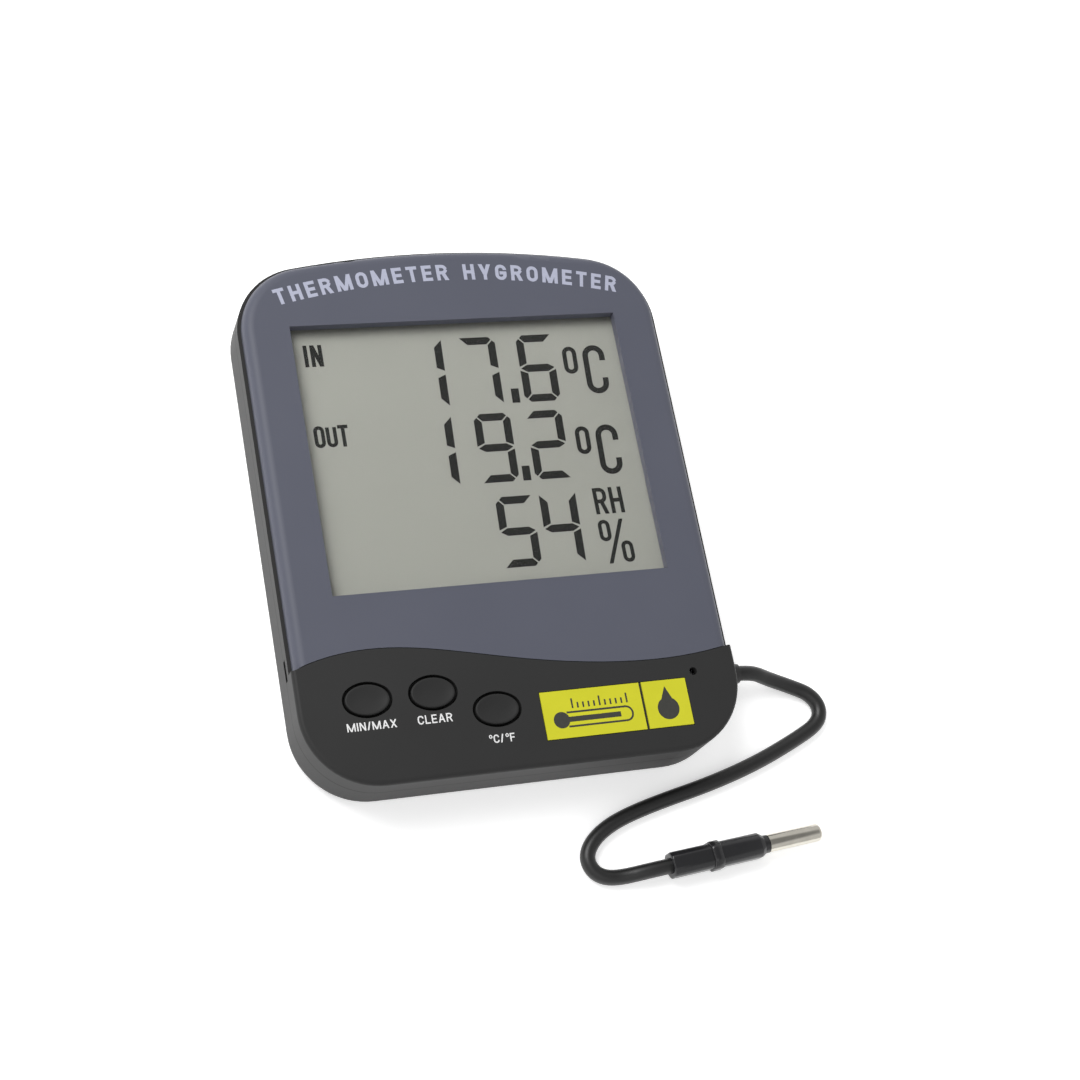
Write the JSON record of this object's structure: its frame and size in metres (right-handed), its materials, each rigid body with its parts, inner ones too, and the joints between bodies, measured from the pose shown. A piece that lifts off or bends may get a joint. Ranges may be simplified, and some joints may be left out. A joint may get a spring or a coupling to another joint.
{
  "type": "maximum minimum thermometer",
  "caption": "Flat crowned case with a large display window, oval keys, a fold-out stand, a battery door and a temperature probe on a cord.",
  "frame": {"origin": "under the middle of the case's outline, without the cord, on the surface that the back rests on", "axes": "+X to the right across the face, +Y up the face to its crowned edge, +Z out of the display"},
  "size_m": [0.1208, 0.1427, 0.0173],
  "materials": {
    "rear_shell": "fine spark texture",
    "front_shell": "fine spark texture",
    "fascia": "satin moulded",
    "lens": "polished clear acrylic",
    "display_glass": "polarised glass",
    "reflector": "satin foil",
    "display_frame": "moulded",
    "elastomer": "silicone",
    "circuit_board": "solder mask on glass epoxy",
    "epoxy": "cast drop",
    "components": "plated",
    "sensor": "moulded",
    "label": "printed film",
    "battery": "printed sleeve",
    "spring_metal": "nickel plated",
    "stand": "fine spark texture",
    "screw_steel": "black zinc",
    "cord_jacket": "matte vinyl",
    "boot": "moulded",
    "probe_metal": "polished nickel",
    "button": "fine spark texture",
    "switch_body": "moulded",
    "switch_plunger": "moulded"
  },
  "bodies": {
    "case": {"rear_cover": "rear_shell", "front_shell": "front_shell", "fascia": "fascia", "window_lens": "lens", "lcd_panel": "display_glass", "lcd_reflector": "reflector", "lcd_frame": "display_frame", "contact_strips": "elastomer", "circuit_board": "circuit_board", "chip_cover": "epoxy", "board_components": "components", "humidity_sensor": "sensor", "label_plates": "label", "battery_cell": "battery", "battery_contact_positive": "spring_metal", "battery_spring_negative": "spring_metal", "case_screws": "screw_steel", "board_screws": "screw_steel", "cord_grommet": "cord_jacket", "probe_leads": "cord_jacket", "probe_cord": "cord_jacket", "probe_boot": "boot", "probe_tip": "probe_metal", "switch_min_max": "switch_body", "switch_clear": "switch_body", "switch_unit": "switch_body"},
    "door": {"battery_door": "rear_shell"},
    "stand_leg": {"stand": "stand"},
    "key_min_max": {"button_min_max": "button", "plunger_min_max": "switch_plunger"},
    "key_clear": {"button_clear": "button", "plunger_clear": "switch_plunger"},
    "key_unit": {"button_unit": "button", "plunger_unit": "switch_plunger"}
  },
  "joints": [
    {"name": "door_hinge", "type": "hinge", "parent": "case", "child": "door", "pos_m": [0, -0.02395, 0.00075], "axis": [1, 0, 0], "range_deg": [0, 60]},
    {"name": "stand_hinge", "type": "hinge", "parent": "case", "child": "stand_leg", "pos_m": [0, -0.0475, 0.00135], "axis": [-1, 0, 0], "range_deg": [0, 80]},
    {"name": "min_max_press", "type": "slide", "parent": "case", "child": "key_min_max", "axis": [0, 0, -1], "range_m": [0, 0.0005], "stiffness_N_per_m": 900, "springref_m": -0.0005},
    {"name": "clear_press", "type": "slide", "parent": "case", "child": "key_clear", "axis": [0, 0, -1], "range_m": [0, 0.0005], "stiffness_N_per_m": 900, "springref_m": -0.0005},
    {"name": "unit_press", "type": "slide", "parent": "case", "child": "key_unit", "axis": [0, 0, -1], "range_m": [0, 0.0005], "stiffness_N_per_m": 900, "springref_m": -0.0005}
  ]
}
